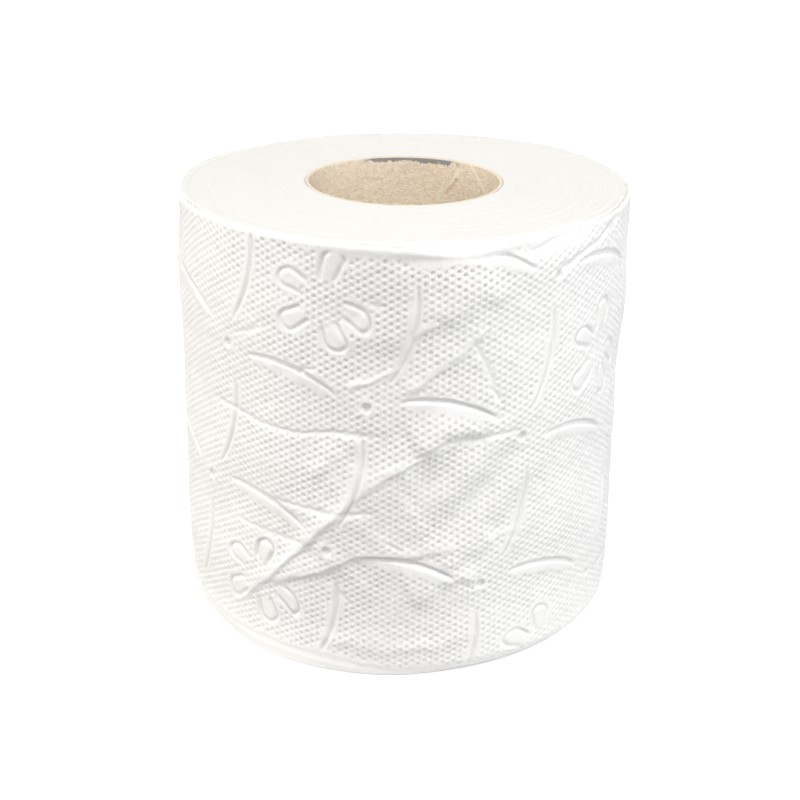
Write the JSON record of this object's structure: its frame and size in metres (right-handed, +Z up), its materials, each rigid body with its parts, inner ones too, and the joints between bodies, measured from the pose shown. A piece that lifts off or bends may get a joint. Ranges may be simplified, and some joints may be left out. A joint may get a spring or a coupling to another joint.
{
  "type": "toilet paper roll",
  "caption": "Roll of embossed white tissue wound on a cardboard core; stands on its end and hangs by the core's bore.",
  "frame": {"origin": "centre of the core's bore at the end that the roll stands on", "axes": "+Z up along the core's axis; the front of the roll faces -Y and +X is to its right"},
  "size_m": [0.0995, 0.1006, 0.097],
  "materials": {
    "core_board": "matte unbleached board",
    "tissue": "soft matte embossed tissue"
  },
  "bodies": {
    "root": {"core_tube": "core_board", "tissue_roll": "tissue"}
  },
  "joints": []
}
